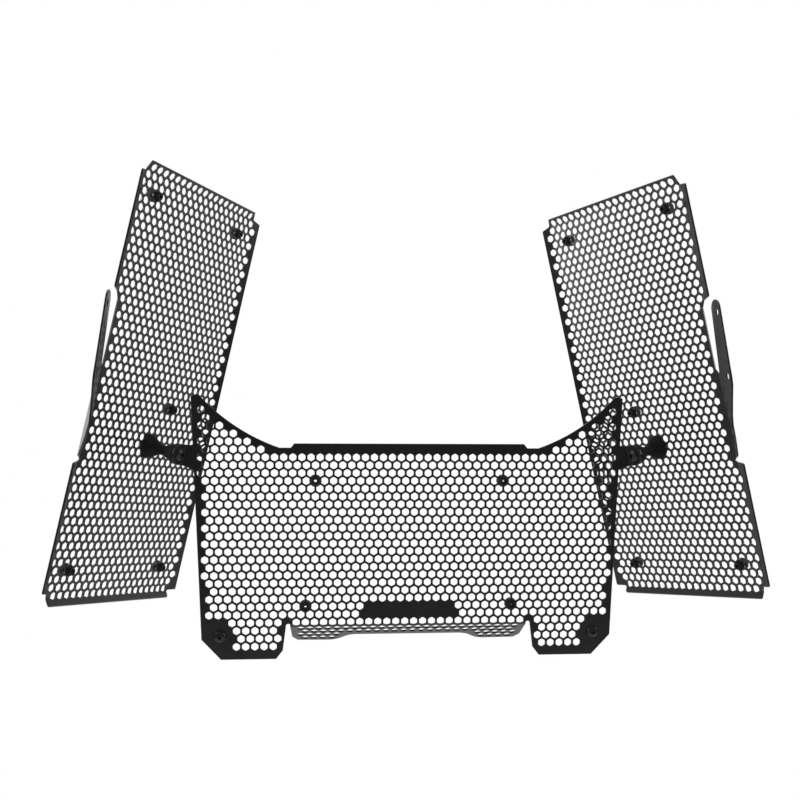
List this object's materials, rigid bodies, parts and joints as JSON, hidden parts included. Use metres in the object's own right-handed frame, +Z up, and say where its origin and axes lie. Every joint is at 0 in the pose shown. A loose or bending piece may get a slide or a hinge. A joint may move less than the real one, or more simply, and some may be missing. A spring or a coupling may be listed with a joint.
{
  "type": "motorcycle radiator guard",
  "caption": "Wide lower guard joined by waisted rubber mounts to tall, outward-turned side guards, all folded from hex-pierced black sheet to shield a motorcycle's radiator.",
  "frame": {"origin": "midway between the two lower fixing screws, on the back face of the lower guard", "axes": "+X to the right as seen from the front, +Y back towards the radiator, +Z up; the part is a mirror image about X = 0"},
  "size_m": [0.5294, 0.1507, 0.3708],
  "materials": {
    "powder_coat": "satin black powder coat on aluminium sheet",
    "rubber": "moulded black rubber",
    "screw": "black oxide"
  },
  "bodies": {
    "root": {"base_screws": "screw", "centre_guard": "powder_coat", "corner_screws": "screw", "ear_screws": "screw", "left_buffer_bottom_inner": "rubber", "left_buffer_bottom_outer": "rubber", "left_buffer_middle": "rubber", "left_buffer_top_inner": "rubber", "left_buffer_top_outer": "rubber", "left_centre_buffer_bottom": "rubber", "left_centre_buffer_top": "rubber", "left_guard": "powder_coat", "right_buffer_bottom_inner": "rubber", "right_buffer_bottom_outer": "rubber", "right_buffer_middle": "rubber", "right_buffer_top_inner": "rubber", "right_buffer_top_outer": "rubber", "right_centre_buffer_bottom": "rubber", "right_centre_buffer_top": "rubber", "right_guard": "powder_coat", "rubber_mounts": "rubber"}
  },
  "joints": []
}
